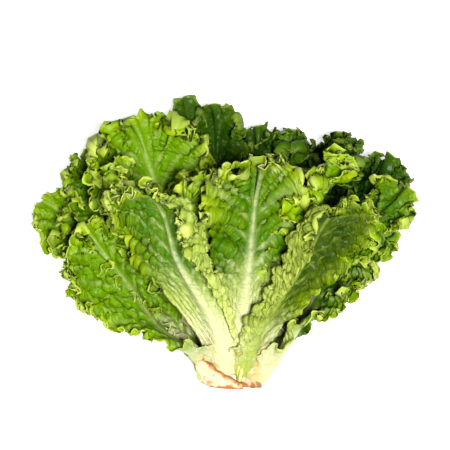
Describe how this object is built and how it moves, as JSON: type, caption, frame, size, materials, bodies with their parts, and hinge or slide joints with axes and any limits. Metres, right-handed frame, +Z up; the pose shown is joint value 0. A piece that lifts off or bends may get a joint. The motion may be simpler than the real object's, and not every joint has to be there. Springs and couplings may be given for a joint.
{
  "type": "head of lettuce",
  "caption": "Loose head of green frilly leaf lettuce, cut at the butt and lying on its side, with separate leaves round a short stem.",
  "frame": {"origin": "on the surface that the head lies on, under the middle of its box", "axes": "+X across the head, +Y from the cut butt towards the crown, +Z up"},
  "size_m": [0.276, 0.2258, 0.1264],
  "materials": {
    "leaf_bright": "moist satin, yellow-green",
    "leaf_mid": "moist satin, mid green",
    "leaf_dark": "moist satin, deep green",
    "leaf_pale": "moist satin, pale rib and green margin",
    "leaf_heart": "moist satin, yellow-green",
    "stem": "moist matte, browned at the cut",
    "shoot": "moist satin"
  },
  "bodies": {
    "root": {"stump": "stem", "side_shoot": "shoot", "broken_leaf_base": "stem", "leaf_under_middle": "leaf_dark", "leaf_under_left": "leaf_dark", "leaf_under_right": "leaf_dark", "leaf_lower_left": "leaf_bright", "leaf_lower_right": "leaf_pale", "leaf_far_left": "leaf_bright", "leaf_under_crown_left": "leaf_dark", "leaf_under_crown_right": "leaf_dark", "leaf_right_side": "leaf_mid", "leaf_front_left": "leaf_pale", "leaf_front_right": "leaf_mid", "leaf_left_side": "leaf_bright", "leaf_right_shoulder": "leaf_dark", "leaf_front_centre": "leaf_pale", "leaf_back_left": "leaf_mid", "leaf_right_crest": "leaf_dark", "leaf_inner_left": "leaf_bright", "leaf_right_tip": "leaf_mid", "leaf_top_centre": "leaf_dark", "leaf_upper_left": "leaf_mid", "leaf_inner_right": "leaf_bright", "leaf_top_strip": "leaf_mid", "leaf_top_dark": "leaf_dark", "leaf_top_right": "leaf_dark", "heart_leaf_front": "leaf_heart", "heart_leaf_left": "leaf_heart", "heart_leaf_right": "leaf_heart", "heart_leaf_middle": "leaf_heart"}
  },
  "joints": []
}
